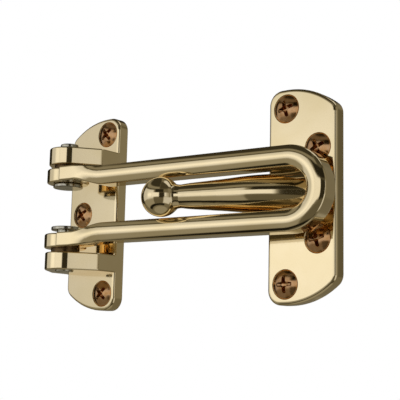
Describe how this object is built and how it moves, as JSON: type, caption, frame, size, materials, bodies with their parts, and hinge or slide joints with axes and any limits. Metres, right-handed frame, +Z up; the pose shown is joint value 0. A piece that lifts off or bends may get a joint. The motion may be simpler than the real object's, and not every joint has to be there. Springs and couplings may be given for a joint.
{
  "type": "door guard",
  "caption": "Swing-bar door guard in polished pale brass: a hinge bracket with a U-shaped swing bar on hinge pins, and a keeper plate with a ball on a leaning arm, fixed by cross-recess screws.",
  "frame": {"origin": "middle of the hinge bracket's back, on the door frame's face", "axes": "+X runs from the hinge bracket to the keeper, +Y goes into the door, +Z is up"},
  "size_m": [0.1121, 0.0325, 0.0668],
  "materials": {
    "plated_casting": "mirror-polished pale brass plate on a zinc die casting",
    "pin_steel": "turned steel with a bright zinc plate",
    "washer_bronze": "stamped bronze, darkened by oil",
    "screw_brass": "polished bronze-toned brass plate on steel"
  },
  "bodies": {
    "base": {"hinge_bracket": "plated_casting", "upper_hinge_pin": "pin_steel", "lower_hinge_pin": "pin_steel", "upper_washer": "washer_bronze", "lower_washer": "washer_bronze", "ball_keeper": "plated_casting", "bracket_screws": "screw_brass", "keeper_screws": "screw_brass"},
    "bar": {"swing_bar": "plated_casting"}
  },
  "joints": [
    {"name": "bar_swing", "type": "hinge", "parent": "base", "child": "bar", "pos_m": [0, -0.0164, 0], "axis": [0, 0, -1], "range_deg": [0, 180]}
  ]
}
